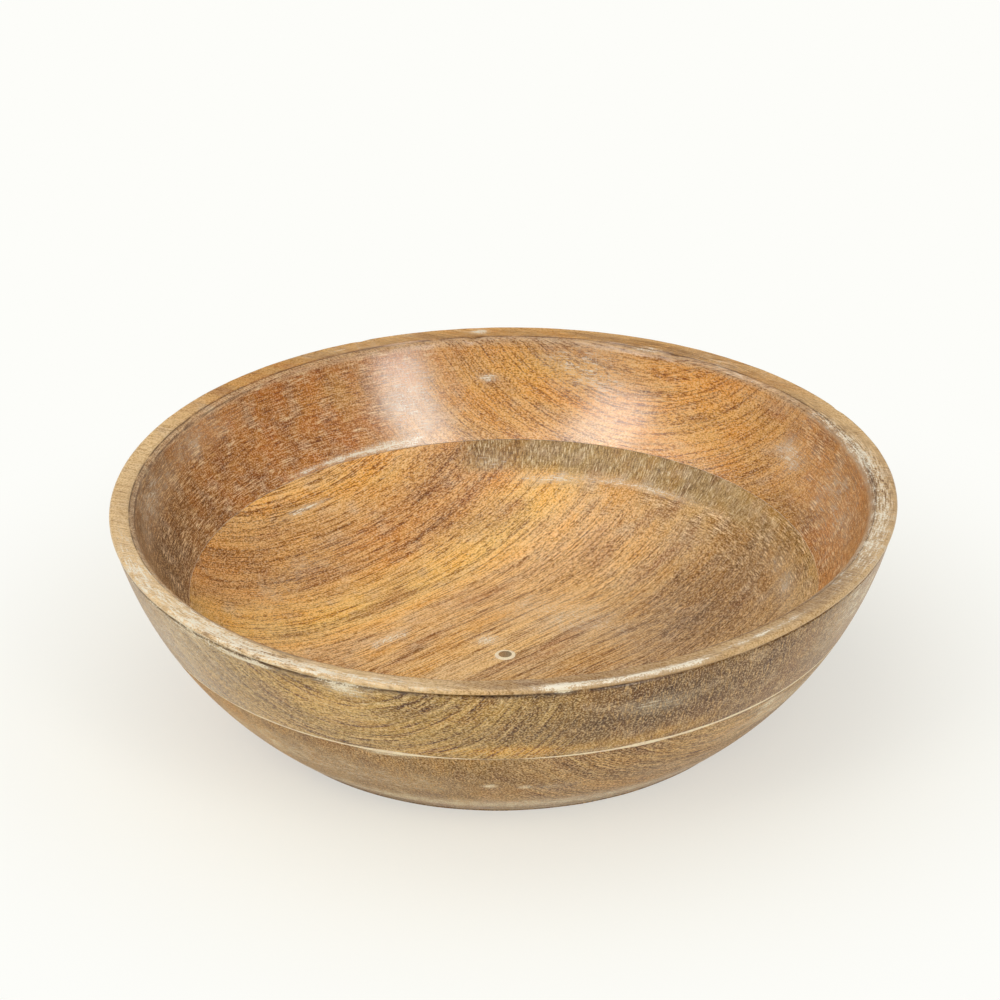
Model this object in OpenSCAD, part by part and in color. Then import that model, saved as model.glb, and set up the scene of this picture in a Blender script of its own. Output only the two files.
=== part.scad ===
// A round turned bowl. Two planks are glued face to face, then shaped and hollowed on a lathe as one blank.
// Millimetres, +Z up. The origin is on the bowl's axis, on the surface that the foot stands on.

/* [Outside] */
// Diameter across the rim
rim_d = 300; // [260:1:340]
// Height from the foot to the top of the rim
bowl_h = 81.5; // [70:0.5:95]
// Diameter of the foot
foot_d = 196; // [172:1:215]
// Height of the upright edge round the foot
foot_edge_h = 0.8; // [0.4:0.1:3]
// Radius of the outside curve from the foot to the rim
belly_r = 142; // [120:1:200]

/* [Hollow] */
// Thickness of the floor, from the table up
floor_t = 12; // [10:0.5:18]
// Radius of the inside curve from the floor to the rim
hollow_r = 94.5; // [80:0.5:120]

/* [Planks] */
// Thickness of the lower plank, from the foot up to the glue
base_plank_t = 44.4; // [36:0.2:54]
// Thickness of the glue film between the planks
glue_t = 0.7; // [0.3:0.1:1.5]

/* [Rim] */
// Width across the rim, bead and bevel included
rim_w = 9.6; // [7:0.1:14]
// Radius of the bead round the outer edge
bead_r = 1.2; // [0.6:0.1:2]
// Width of the groove under the bead
groove_w = 1; // [0.5:0.1:2]
// Depth of the groove under the bead
groove_depth = 0.7; // [0.3:0.1:1.5]
// Width of the bevel along the inner edge
bevel_w = 2.2; // [1:0.1:3.5]
// Drop of the bevel from the top of the rim to the hollow
bevel_drop = 1.2; // [0.5:0.1:2.5]
// Width of the line scored between the rim's top and its bevel
score_w = 0.7; // [0.3:0.1:1.2]
// Depth of the scored line
score_depth = 0.5; // [0.2:0.1:1]

/* [Foot] */
// Diameter of the shallow recess under the bowl, which leaves a ring to stand on
recess_d = 164; // [120:1:190]
// Depth of the recess
recess_depth = 1.5; // [0.8:0.1:3]

/* [Centre plug] */
// Diameter of the lathe-screw hole in the floor
hole_d = 8.2; // [6:0.1:12]
// Depth of the hole
hole_depth = 6; // [3:0.5:8]
// Mean thickness of the filler round the plug
filler_t = 1.5; // [0.8:0.1:1.8]
// Distance of the plug from the bowl's axis, towards the back
plug_shift = 0.7; // [0:0.1:0.9]

/* [Hidden] */
$fn = 180;

// How far a cut runs past the face that it opens
past = 1;

rim_r = rim_d / 2;
foot_r = foot_d / 2;
recess_r = recess_d / 2;
rim_inner_r = rim_r - rim_w;
rim_inner_z = bowl_h - bevel_drop;
seam_top = base_plank_t + glue_t;
hole_floor = floor_t - hole_depth;
plug_d = hole_d - 2 * filler_t;

// The outside curve is one arc through the top of the foot's edge and the rim's outer corner
foot_corner = [foot_r, foot_edge_h];
rim_corner = [rim_r, bowl_h];
belly_c = arc_centre(foot_corner, rim_corner, belly_r);

// The inside curve is one arc that leaves the floor level and meets the bevel's lower edge
hollow_z = floor_t + hollow_r;
hollow_c = [rim_inner_r - leg(hollow_r, hollow_z - rim_inner_z), hollow_z];

// Bead at the rim's outer corner, and the middle of the groove under it
bead_c = rim_corner - [bead_r, bead_r];
groove_z = bowl_h - 2 * bead_r - groove_w / 2;
groove_c = [belly_c.x + leg(belly_r, belly_c.y - groove_z), groove_z];

// Other short side of a right triangle
function leg(hypotenuse, side) = sqrt(hypotenuse ^ 2 - side ^ 2);

// Centre of the arc of radius r from a up to b that bulges away from the axis
function arc_centre(a, b, r) =
    let (chord = b - a, side = [-chord.y, chord.x] / norm(chord))
    (a + b) / 2 + side * leg(r, norm(chord) / 2);

// Half section of the turned outside
module outside_section() {
    square([foot_r, foot_edge_h]);
    intersection() {
        translate(belly_c) circle(belly_r);
        translate([0, foot_edge_h]) square([rim_d, bowl_h - foot_edge_h]);
    }
}

// Half section of the hollow, open at the top
module hollow_section() {
    translate([0, floor_t]) square([hollow_c.x, bowl_h]);
    translate(hollow_c) circle(hollow_r);
}

// The wall and floor between two heights
module layer_section(low, high) {
    difference() {
        intersection() {
            outside_section();
            translate([0, low]) square([rim_d, high - low]);
        }
        hollow_section();
    }
}

// V cut with its mouth at the given point of a face, which looks along the given direction
module v_cut(mouth, width, depth, turn) {
    translate(mouth) rotate(turn) polygon([[-depth, 0], [depth, -width], [depth, width]]);
}

// Bevel between the rim's top and the hollow
module bevel_section() {
    polygon([
        [rim_inner_r, rim_inner_z],
        [rim_inner_r + bevel_w, bowl_h],
        [rim_inner_r + bevel_w, bowl_h + past],
        [0, bowl_h + past],
        [0, rim_inner_z],
    ]);
}

// Upper plank: a ring with the upper wall and the rim
module rim_plank() {
    color("#b98a50") rotate_extrude() difference() {
        union() {
            difference() {
                layer_section(seam_top, bowl_h);
                translate(bead_c) square(2 * bead_r);
            }
            translate(bead_c) circle(bead_r);
        }
        v_cut(groove_c, groove_w, groove_depth, 0);
        bevel_section();
        v_cut([rim_inner_r + bevel_w, bowl_h], score_w, score_depth, 90);
    }
}

// Film of glue and filler between the planks
module seam_glue() {
    color("#f0e2c8") rotate_extrude() layer_section(base_plank_t, seam_top);
}

// Lower plank: the foot, the lower wall and the floor
module base_plank() {
    color("#a8783f") difference() {
        rotate_extrude() difference() {
            layer_section(0, base_plank_t);
            polygon([
                [0, -past],
                [recess_r + past, -past],
                [recess_r - recess_depth, recess_depth],
                [0, recess_depth],
            ]);
        }
        translate([0, 0, hole_floor]) cylinder(d = hole_d, h = hole_depth + past);
    }
}

// Filler that fixes the plug in the lathe-screw hole
module plug_filler() {
    color("#eadcc0") translate([0, 0, hole_floor]) difference() {
        cylinder(d = hole_d, h = hole_depth);
        translate([0, plug_shift, -past]) cylinder(d = plug_d, h = hole_depth + 2 * past);
    }
}

// Plug that closes the lathe-screw hole, level with the floor
module centre_plug() {
    color("#5f4a30") translate([0, plug_shift, hole_floor]) cylinder(d = plug_d, h = hole_depth);
}

rim_plank();
seam_glue();
base_plank();
plug_filler();
centre_plug();
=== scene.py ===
# %% [markdown]
# # A turned dough bowl in mango wood
# Two thick planks are glued face to face, with their grain crossed, then turned and hollowed on a lathe as
# one blank. The frame below brings in the bowl's solids at their real size. Each one is then dressed with a
# finer mesh and a solid wood grain, so that the growth layers run through the wood as they do in a plank.

# %% Load the frame
from math import atan2, ceil, cos, exp, hypot, pi, radians, sin, sqrt

import bmesh
import bpy
from mathutils import Matrix, Vector, noise


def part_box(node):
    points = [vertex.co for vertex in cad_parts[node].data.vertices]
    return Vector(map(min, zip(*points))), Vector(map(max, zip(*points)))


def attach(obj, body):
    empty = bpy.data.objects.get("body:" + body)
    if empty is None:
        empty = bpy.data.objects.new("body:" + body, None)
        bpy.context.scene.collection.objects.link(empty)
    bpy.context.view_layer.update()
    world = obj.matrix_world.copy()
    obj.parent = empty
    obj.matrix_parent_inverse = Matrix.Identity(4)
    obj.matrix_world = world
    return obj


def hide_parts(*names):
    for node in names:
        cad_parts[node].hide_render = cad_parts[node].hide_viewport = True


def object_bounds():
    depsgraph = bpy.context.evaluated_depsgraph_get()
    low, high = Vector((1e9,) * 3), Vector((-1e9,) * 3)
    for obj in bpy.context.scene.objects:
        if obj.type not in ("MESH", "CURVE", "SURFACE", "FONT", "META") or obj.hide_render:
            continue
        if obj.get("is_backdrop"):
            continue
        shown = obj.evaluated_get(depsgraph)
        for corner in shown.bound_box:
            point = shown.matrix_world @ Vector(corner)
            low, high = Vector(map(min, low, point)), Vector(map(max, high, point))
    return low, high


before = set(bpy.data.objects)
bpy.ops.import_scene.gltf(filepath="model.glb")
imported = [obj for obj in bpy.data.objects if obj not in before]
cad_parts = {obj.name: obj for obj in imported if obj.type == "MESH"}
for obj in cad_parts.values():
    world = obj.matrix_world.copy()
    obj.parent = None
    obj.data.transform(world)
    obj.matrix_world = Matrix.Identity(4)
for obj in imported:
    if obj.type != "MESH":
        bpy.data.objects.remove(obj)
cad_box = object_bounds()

print("solids in the frame:", ", ".join(sorted(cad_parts)))

# %% [markdown]
# ## Sizes
# Lengths here are in millimetres, because a turner measures that way, and MM turns them into Blender's
# metres at the last moment. Outer sizes come from the frame's own boxes. The curves and the rim's small
# cuts can't be read from a box, so they are named here.

# %% Sizes of the bowl
MM = 0.001


def box_mm(node):
    """Lowest and highest corner of a solid in the frame, in millimetres."""
    low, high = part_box(node)
    return low / MM, high / MM


rim_low, rim_high = box_mm("rim_plank")
base_high = box_mm("base_plank")[1]
hole_low, hole_high = box_mm("plug_filler")
plug_low, plug_high = box_mm("centre_plug")

rim_r = rim_high.x
bowl_h = rim_high.z
base_top = base_high.z
seam_top = rim_low.z
floor_t = hole_high.z
hole_floor = hole_low.z
hole_r = hole_high.x
plug_r = (plug_high.x - plug_low.x) / 2
plug_shift = (plug_high.y + plug_low.y) / 2

foot_r = 98
foot_edge_h = 0.8
belly_r = 142
hollow_r = 94.5
recess_r = 82
recess_depth = 1.5

rim_w = 9.6
bead_r = 1.2
groove_w = 1.0
groove_depth = 0.7
bevel_w = 2.2
bevel_drop = 1.2
score_w = 0.7
score_depth = 0.5

print(f"rim {2 * rim_r:.0f} mm across, {bowl_h:.1f} mm high, seam from {base_top:.1f} to {seam_top:.1f} mm")

# %% [markdown]
# ## The two curves of the wall
# The turner's gouge leaves one sweeping arc outside, from foot to rim, and one inside, from floor to rim.
# Both could be drawn as Bezier curves, but an arc with its radius in millimetres matches the solids exactly.

# %% Outside and inside arcs
rim_inner_r = rim_r - rim_w
rim_inner_z = bowl_h - bevel_drop


def leg(hypotenuse, side):
    """Other short side of a right triangle."""
    return sqrt(hypotenuse ** 2 - side ** 2)


foot_corner = Vector((foot_r, foot_edge_h))
rim_corner = Vector((rim_r, bowl_h))
chord = rim_corner - foot_corner
inward = Vector((-chord.y, chord.x)).normalized()
belly_c = (foot_corner + rim_corner) / 2 + inward * leg(belly_r, chord.length / 2)
hollow_z = floor_t + hollow_r
hollow_x = rim_inner_r - leg(hollow_r, hollow_z - rim_inner_z)


def belly_at(z):
    """Radius of the outside curve at a height."""
    return belly_c.x + leg(belly_r, belly_c.y - z)


def hollow_at(z):
    """Radius of the inside curve at a height."""
    return hollow_x + leg(hollow_r, hollow_z - z)


def hollow_height(r):
    """Height of the floor and the inside curve at a radius."""
    return floor_t if r <= hollow_x else hollow_z - leg(hollow_r, r - hollow_x)


print(f"outside arc centre at r {belly_c.x:.1f}, z {belly_c.y:.1f}")
print(f"inside arc centre at r {hollow_x:.1f}, z {hollow_z:.1f}")

# %% [markdown]
# ## A lathe in code
# Blender has a Screw modifier for turned shapes, but it repeats one section exactly. A worn bowl isn't the
# same all the way round, so this lathe asks for a fresh half section at every angle and joins them up. Each
# section must have the same number of points.

# %% The lathe
TURNS = 720
SHARP_FROM = radians(38)


def steps(start, stop, longest):
    """Even steps from start to stop, none longer than asked, both ends included."""
    count = max(1, ceil(abs(stop - start) / longest))
    return [start + (stop - start) * i / count for i in range(count + 1)]


def turn(name, section, centre=(0, 0)):
    """Joins the closed half sections that section(angle) gives, in millimetres, into one mesh piece."""
    bm = bmesh.new()
    columns = []
    on_axis = {}
    for i in range(TURNS):
        angle = 2 * pi * i / TURNS
        column = []
        for k, (r, z) in enumerate(section(angle)):
            spot = Vector((centre[0] + r * cos(angle), centre[1] + r * sin(angle), z)) * MM
            if r > 0:
                column.append(bm.verts.new(spot))
                continue
            if k not in on_axis:
                on_axis[k] = bm.verts.new(spot)
            column.append(on_axis[k])
        columns.append(column)
    for here, there in zip(columns, columns[1:] + columns[:1]):
        for k in range(len(here)):
            corners = dict.fromkeys((here[k - 1], there[k - 1], there[k], here[k]))
            if len(corners) > 2:
                bm.faces.new(corners)
    bmesh.ops.recalc_face_normals(bm, faces=bm.faces)
    mesh = bpy.data.meshes.new(name)
    bm.to_mesh(mesh)
    bm.free()
    mesh.shade_smooth()
    mesh.set_sharp_from_angle(angle=SHARP_FROM)
    piece = bpy.data.objects.new(name, mesh)
    bpy.context.scene.collection.objects.link(piece)
    print(f"{name}: {len(mesh.vertices)} points, {len(mesh.polygons)} faces")
    return piece


print(f"the lathe takes a section every {360 / TURNS} degrees")

# %% [markdown]
# ## How the wood has moved and worn
# Planks shrink as they dry, more across the grain than along it, so a turned ring goes very slightly
# saddle-shaped. This one has risen about half a millimetre at the back left and front right. The blank also
# went back on the lathe a hair off centre, so the wall is up to 1.3 mm thicker at the back right of the rim.
# Edges wander a little too, from sanding by hand. All of it is worked out from the angle, so every piece
# agrees. A sculpted mesh could show the same, but not so that two pieces still meet.

# %% Drying and hand wear
saddle_rise = 0.6
saddle_at = radians(136)
off_centre = 0.65
thickest_at = radians(60)


def around(angle, waves, seed):
    """Smooth noise round the bowl, from about -1 to 1, with that many waves in a full turn."""
    reach = waves / (2 * pi)
    return noise.noise(Vector((reach * cos(angle), reach * sin(angle), seed)))


def outside_at(angle, z):
    """Radius of the outside at an angle and a height, further off centre towards the rim."""
    return belly_at(z) + off_centre * (1 + cos(angle - thickest_at)) * (z / bowl_h) ** 1.5


def lift(angle, z):
    """How far drying has raised the wood: most at the rim and nothing at the foot."""
    return saddle_rise * cos(2 * (angle - saddle_at)) * (z / bowl_h) ** 2


def settle(points, angle):
    """Lifts a section by the saddle that drying has left."""
    return [(r, z + lift(angle, z)) for r, z in points]


print(f"rim rises and falls {saddle_rise} mm twice round the bowl")
print(f"wall is up to {2 * off_centre:.1f} mm thicker on one side")

# %% [markdown]
# ## Chips and dents
# The inner edge of the rim has lost small chips where the grain runs out, and the bead has been knocked in
# places. Chips could be cut with booleans, but a soft dip in the section keeps the mesh clean.

# %% Chips and dents of the rim
# Chips along the scored inner edge: angle and half length along the edge in degrees, then depth
inner_chips = ((94, 1.0, 0.9), (101, 2.5, 0.35), (108, 1.5, 0.45), (66, 3.0, 0.4), (60, 1.4, 0.6),
               (4, 2.2, 0.7), (-3, 1.5, 0.5), (14, 1.6, 0.4), (-96, 2.4, 0.5), (-84, 1.2, 0.7),
               (151, 2.0, 0.3), (168, 1.2, 0.3))
# Dents in the outer bead, in the same way
outer_chips = ((-85, 1.6, 0.5), (-74, 0.8, 0.3), (-62, 1.2, 0.35), (-118, 1.4, 0.3), (112, 0.8, 0.3),
               (28, 1.1, 0.35))


def turn_between(angle, at):
    """The short way round from one angle to another, at most half a turn either way."""
    return (angle - at + pi) % (2 * pi) - pi


def amount_at(angle, marks):
    """Adds up soft marks at an angle. A mark has an angle and a half length in degrees, then an amount."""
    total = 0.0
    for at, half, most in marks:
        total += most * exp(-(turn_between(angle, radians(at)) / radians(half)) ** 2)
    return total


print(f"{len(inner_chips)} chips on the inner edge, {len(outer_chips)} dents in the bead")

# %% [markdown]
# ## Rim
# The rim has a small bead outside with a cut groove under it, a flat top, a scored line and a narrow bevel
# inside. The groove was cut by hand against the spinning bowl, so its depth wanders. A Bevel modifier would
# round every edge alike, so each of these is drawn as points of the section.

# %% Bead, groove, scored line and bevel
groove_z = bowl_h - 2 * bead_r - groove_w / 2
score_r = rim_inner_r + bevel_w


def groove_and_bead(angle):
    """The groove's bottom, then up and over the bead, which the dents flatten most at its corner."""
    cut = groove_depth * max(0.15, 0.6 + 0.7 * around(angle, 26, 3.1))
    dent = amount_at(angle, outer_chips) + 0.08 * (1 + around(angle, 140, 5.7))
    bead = (outside_at(angle, bowl_h) - bead_r, bowl_h - bead_r)
    points = [(outside_at(angle, groove_z) - cut, groove_z)]
    for bead_deg in steps(-70, 90, 16):
        reach = bead_r - dent * max(0, cos(radians(bead_deg - 45)))
        points.append((bead[0] + reach * cos(radians(bead_deg)), bead[1] + reach * sin(radians(bead_deg))))
    return points


def top_and_bevel(angle):
    """The flat top with its sanding waves, the scored line, and the bevel down to under the inner edge."""
    chip = amount_at(angle, inner_chips) + 0.10 * (1 + around(angle, 90, 8.3))
    score = score_depth * (0.9 + 0.6 * around(angle, 40, 1.9))
    flat_in, flat_out = score_r + score_w / 2, outside_at(angle, bowl_h) - bead_r - 0.6
    points = []
    for share in steps(1, 0, 0.17):
        r = flat_in + (flat_out - flat_in) * share
        points.append((r, bowl_h - 0.1 * (1 + around(angle, 60, r))))
    points.append((score_r, bowl_h - score - 0.6 * chip))
    points.append((score_r - score_w / 2, bowl_h - 0.25 * bevel_drop - 0.8 * chip))
    points.append((rim_inner_r + 0.5, rim_inner_z + 0.25 - 0.9 * chip))
    points.append((rim_inner_r + 0.2, rim_inner_z - 0.25 - chip))
    under_edge = rim_inner_z - 0.9 - 0.9 * chip
    points.append((hollow_at(under_edge), under_edge))
    return points


print(f"groove at a height of {groove_z:.1f} mm, scored line at a radius of {score_r:.1f} mm")

# %% [markdown]
# ## Upper plank
# A ring with the upper wall and the rim. Its section runs up the outside, over the rim and down the hollow,
# and closes along the seam. Steps of about a millimetre follow the curves, and the hidden joint needs few.

# %% Section of the upper plank
seam_mid = (base_top + seam_top) / 2
seam_open = 0.12
wall_step = 1.2
joint_step = 6
joint_inset = 1.5


def rim_section(angle):
    """Half section of the upper plank, outside first, from the seam up and over the rim."""
    low = seam_mid + seam_open
    points = [(outside_at(angle, z), z) for z in steps(low, groove_z - groove_w / 2, wall_step)]
    points += groove_and_bead(angle) + top_and_bevel(angle)
    points += [(hollow_at(z), z) for z in steps(rim_inner_z - 2.2, low, wall_step)]
    joint = steps(hollow_at(low) + joint_inset, belly_at(low) - joint_inset, joint_step)
    points += [(r, low) for r in joint]
    return settle(points, angle)


rim_plank = turn("rim_plank_turned", rim_section)

# %% [markdown]
# ## Lower plank
# The foot, the lower wall and the floor. Its underside has a shallow recess, so that the bowl stands on a
# ring, and the floor has the small hole by which the blank was screwed to the lathe. Booleans could sink
# both, but one section from the middle of the underside round to the hole keeps the mesh in clean rings.

# %% Section of the lower plank
foot_ease = 0.5
recess_step = 6
foot_step = 4
floor_step = 1.7


def base_section(angle):
    """Half section of the lower plank, from the middle of its underside out, up, in and down to the hole."""
    wear = 0.12 * (1 + around(angle, 50, 2.2))
    top = seam_mid - seam_open
    points = [(0, recess_depth)]
    points += [(r, recess_depth) for r in steps(recess_step, recess_r - recess_depth, recess_step)]
    points += [(r, 0) for r in steps(recess_r, foot_r - foot_ease - wear, foot_step)]
    points.append((foot_r - 0.3 * foot_ease, 0.3 * foot_ease + wear))
    points += [(outside_at(angle, z), z) for z in steps(foot_edge_h + 0.2 * wear, top, wall_step)]
    joint = steps(belly_at(top) - joint_inset, hollow_at(top) + joint_inset, joint_step)
    points += [(r, top) for r in joint]
    points += [(r, hollow_height(r)) for r in steps(hollow_at(top), hole_r, floor_step)]
    points += [(hole_r, hole_floor), (0, hole_floor)]
    return settle(points, angle)


base_plank = turn("base_plank_turned", base_section)

# %% [markdown]
# ## Glue seam
# A film of cream glue and filler between the planks. Outside it shows as a cream line, wider where the
# planks were uneven and filler was rubbed in, and it stands a hair proud. Inside it was scraped nearly clean.
# A painted line would look flat from close by, so the film is a thin turned piece of its own.

# %% Seam film
# Smears of filler: angle and half length in degrees, then how much wider the line is there, in millimetres
smears = ((-108, 4.5, 0.6), (-68, 4.0, 0.7), (-60, 2.5, 0.35), (-130, 5.0, 0.1), (-50, 8.0, 0.3),
          (-30, 8.0, 0.15), (150, 9.0, 0.3))
# Places where the line is thinner, in the same way
gaps = ((-91, 6.0, 0.5), (-142, 6.0, 0.15), (100, 10.0, 0.2), (40, 12.0, 0.15))
seam_half = 0.48
seam_proud = 0.05
inner_half = 0.02
inner_back = 0.1
edge_tuck = 0.12


def seam_section(angle):
    """Half section of the seam film: proud outside, set back inside, its edges tucked into the planks."""
    rough = 0.07 * around(angle, 150, 4.4) + 0.06 * around(angle, 40, 6.6)
    outer_half = max(0.05, seam_half + rough + amount_at(angle, smears) - amount_at(angle, gaps))
    points = []
    for share in steps(-1, 1, 0.25):
        z = seam_mid + share * outer_half
        tuck = edge_tuck * (abs(share) == 1)
        points.append((outside_at(angle, z) + seam_proud * (1 - share ** 4) - tuck, z))
    for share in steps(1, -1, 0.25):
        z = seam_mid + share * inner_half
        tuck = edge_tuck * (abs(share) == 1)
        points.append((hollow_at(z) + inner_back * (1 - share ** 4) + tuck, z))
    return settle(points, angle)


seam_film = turn("seam_glue_film", seam_section)

# %% [markdown]
# ## Centre plug
# The lathe screw left a hole in the middle of the floor. It was closed with a slip of wood set in cream
# filler, a little off centre, then sanded level with the floor. Filler dries with a slight crown and end
# grain sands to a slight dish, so both are turned that way.

# %% Filler and plug
crown = 0.06
dish = 0.15


def filler_section(angle):
    """Half section of the filler, whose inner edge follows the plug's own circle."""
    toward = plug_shift * sin(angle)
    inner = toward + leg(plug_r, plug_shift * cos(angle))
    outer = hole_r + 0.25 * around(angle, 12, 7.7)
    points = [(outer, hole_floor), (outer, floor_t - crown)]
    for share in steps(0.9, 0.1, 0.2):
        bulge = crown * (1 - (2 * share - 1) ** 2)
        points.append((inner + (outer - inner) * share, floor_t + bulge))
    points += [(inner, floor_t - crown), (inner, hole_floor)]
    return points


def plug_section(angle):
    """Half section of the plug, with its end grain dished a little by sanding."""
    points = [(0, hole_floor), (plug_r, hole_floor), (plug_r, floor_t - 0.1)]
    for r in steps(plug_r - 0.3, 0.4, 0.4):
        hollow = dish * (1 - (r / plug_r) ** 2)
        points.append((r, floor_t - hollow + 0.04 * around(angle, 9, r)))
    points.append((0, floor_t - dish))
    return points


plug_filler = turn("plug_filler_ring", filler_section)
centre_plug = turn("centre_plug_end_grain", plug_section, centre=(0, plug_shift))

# %% [markdown]
# ## Tie the pieces to the frame
# Each piece stands for one solid of the frame and rides with the bowl's only body.

# %% Riding and replacing
for piece, node, slot in (
    (rim_plank, "rim_plank", "upper_wood"),
    (seam_film, "seam_glue", "glue"),
    (base_plank, "base_plank", "lower_wood"),
    (plug_filler, "plug_filler", "filler"),
    (centre_plug, "centre_plug", "plug_wood"),
):
    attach(piece, "root")
    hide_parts(node)
print("5 pieces ride on the bowl")

# %% [markdown]
# ## Where the finish has worn
# The bowl was whitewashed and rubbed back, so white stays in patches, along edges and by the seam. Other
# places are stained darker, or worn to bare golden wood. Some white dabs are painted highlights and painted
# bounce light, and some dark ones are painted shade. Painting them by hand would need a picture, so each is a
# soft dab instead: on a face of the bowl, an angle, a place, a half length round the bowl, a half height and
# a strength. The dabs are added up on the mesh points as named layers, which the wood's nodes read.

# %% Dabs of wear
DAB_REACH = 3


def clamp(value):
    """Keeps a share between 0 and 1."""
    return min(1.0, max(0.0, value))


def between(value, start, full):
    """Share of the way from start to full, from 0 to 1."""
    return clamp((value - start) / (full - start))


def place_on(face, azimuth, reach):
    """Angle, radius and height of a spot. Reach is a height on the walls, a distance in from the rim's outer
    edge on its top, and a radius on the floor."""
    if face == "rim":
        return radians(azimuth), rim_r - reach, bowl_h
    if face == "floor":
        return radians(azimuth), reach, hollow_height(reach)
    return radians(azimuth), belly_at(reach) if face == "outside" else hollow_at(reach), reach


def wear_layer(piece, name, dabs=None, base=None):
    """Adds up soft dabs on a piece's points, over a base value, and keeps them as a named layer."""
    spots = []
    for face, marks in (dabs or {}).items():
        spots += [(*place_on(face, at, reach), *size_and_strength) for at, reach, *size_and_strength in marks]
    values = []
    for point in piece.data.vertices:
        x, y, z = point.co / MM
        r, angle = hypot(x, y), atan2(y, x)
        z -= lift(angle, z)
        value = base(r, z, angle) if base else 0.0
        for at, at_r, at_z, half_l, half_h, amount in spots:
            up = hypot(r - at_r, z - at_z) / half_h
            if up < DAB_REACH:
                along = turn_between(angle, at) * r / half_l
                value += amount * exp(-along * along - up * up)
        values.append(value)
    layer = piece.data.attributes.new(name, "FLOAT", "POINT")
    layer.data.foreach_set("value", values)
    print(f"{piece.name}: {name} from {min(values):.2f} to {max(values):.2f}")


print(f"a dab stops {DAB_REACH} half heights from its middle")

# %% [markdown]
# ## Whitewash and painted light
# White is left where the cloth rubbed least: in streaks on the rim, along the seam and in thin veils on the
# wall. The white on the front of the bead and three veils on the back wall inside are partly whitewash and
# partly painted highlight. The thin line round the foot's edge is a painted highlight, and the broad pale
# band low on the front is painted light bounced from the table. Angles are in degrees round the bowl, with
# the front at -90 and the right at 0.

# %% Whitewash and painted light on the wood
whitewash_and_painted_highlights_upper = {
    "outside": (
        (-113, 76.0, 8, 3.0, 0.62), (-129.6, 77.2, 12, 0.8, 0.95), (-68, 66, 16, 5, 0.34),
        # The dab at -82 on the bead is partly painted highlight
        (-82, 79.2, 2.4, 0.9, 0.9), (-150, 66, 60, 24, 0.34), (-76, 46.2, 12, 0.9, 0.4),
        (-26, 68, 34, 18, 0.44), (-113, 64, 20, 10, 0.12),
    ),
    "rim": (
        # The dabs at -113, -82, -70 and -63 on the front of the bead are partly painted highlight
        (-113, 1.6, 40, 3.4, 0.52), (-137, 3.0, 30, 5.0, 0.38), (-160, 2.4, 34, 4.0, 0.26),
        (-82, 1.0, 12, 1.8, 0.95), (-70, 1.0, 22, 1.6, 0.8), (-63, 1.0, 8, 1.6, 0.5),
        (-50, 3.4, 26, 1.4, 0.5), (-8, 4.6, 34, 4.6, 0.46), (12, 7.0, 22, 3.6, 0.4),
        (24, 8.6, 20, 2.4, 0.34), (93, 3.0, 3.4, 2.2, 0.9), (65, 8.0, 7, 1.0, 0.8),
        (44, 9.2, 26, 1.4, 0.5), (116, 4, 16, 4, 0.25), (54, 4, 20, 4, 0.25),
    ),
    "inside": (
        # The dabs at 106, 72 and 74 are partly painted highlight on the back wall
        (172, 72, 26, 9, 0.34), (150, 74, 26, 7, 0.28), (130, 66, 40, 14, 0.04), (106, 60, 13, 26, 0.36),
        (72, 60, 16, 16, 0.08), (74, 70, 20, 12, 0.3), (92, 66, 4, 1.4, 0.75), (31, 62, 10, 8, 0.3),
        (12, 62, 40, 22, 0.28), (121, 46.0, 20, 1.2, 0.68), (112, 46.6, 14, 1.6, 0.56),
        (131, 45.6, 9, 0.8, 0.5), (40, 76, 30, 3, 0.2), (80, 74, 14, 5, 0.14),
    ),
}
whitewash_and_painted_light_lower = {
    "inside": (
        (121, 43.9, 18, 0.7, 0.4), (135, 36, 12, 1.4, 0.55), (60, 35, 36, 1.6, 0.5),
        (80, 33, 18, 2.0, 0.4), (92, 38, 10, 4, 0.25), (60, 41, 70, 5, 0.16), (8, 34, 30, 6, 0.25),
        (140, 24, 40, 8, 0.15),
    ),
    "floor": (
        (120, 14, 5, 4, 0.55), (168.7, 51, 4.5, 2.2, 0.5), (162.1, 47.3, 4.5, 2.2, 0.55),
        (154.6, 44.3, 4.5, 2.2, 0.5), (20, 60, 40, 30, 0.16), (60, 40, 30, 16, 0.22),
        (175, 92, 40, 16, 0.12),
    ),
    "outside": (
        (-132, 26, 60, 18, 0.38), (-108, 43.4, 11, 1.0, 0.55), (-93, 26, 2.6, 1.6, 0.8),
        (-87, 25, 2.4, 1.4, 0.8), (-82, 24, 8, 1.6, 0.4), (-43, 41, 7, 2.4, 0.5), (-40, 34, 40, 9, 0.4),
        # The dab at -90 is painted light bounced from the table onto the low front. The dabs 1.4 and 2 mm up
        # are a painted highlight along the foot's edge.
        (-106, 24, 24, 10, 0.15), (-90, 8, 120, 7, 0.62), (-60, 2, 60, 1.2, 0.5),
        (-100, 1.4, 60, 1.0, 0.55), (-150, 1.4, 60, 1.0, 0.4), (60, 1.4, 120, 1.0, 0.4),
        (150, 1.4, 120, 1.0, 0.4),
    ),
}
wear_layer(rim_plank, "whitewash", whitewash_and_painted_highlights_upper)
wear_layer(base_plank, "whitewash", whitewash_and_painted_light_lower)

# %% [markdown]
# ## Stain and painted shade
# Stain has soaked in deepest at the front outside and along the rim. The deepest dabs at the left inside are
# painted shade, on the wall that faces away from the key lamp, and a thin dab in the groove under the bead is
# painted shade too. All are laid in dabs, so that each place can be moved by its own numbers.

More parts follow.
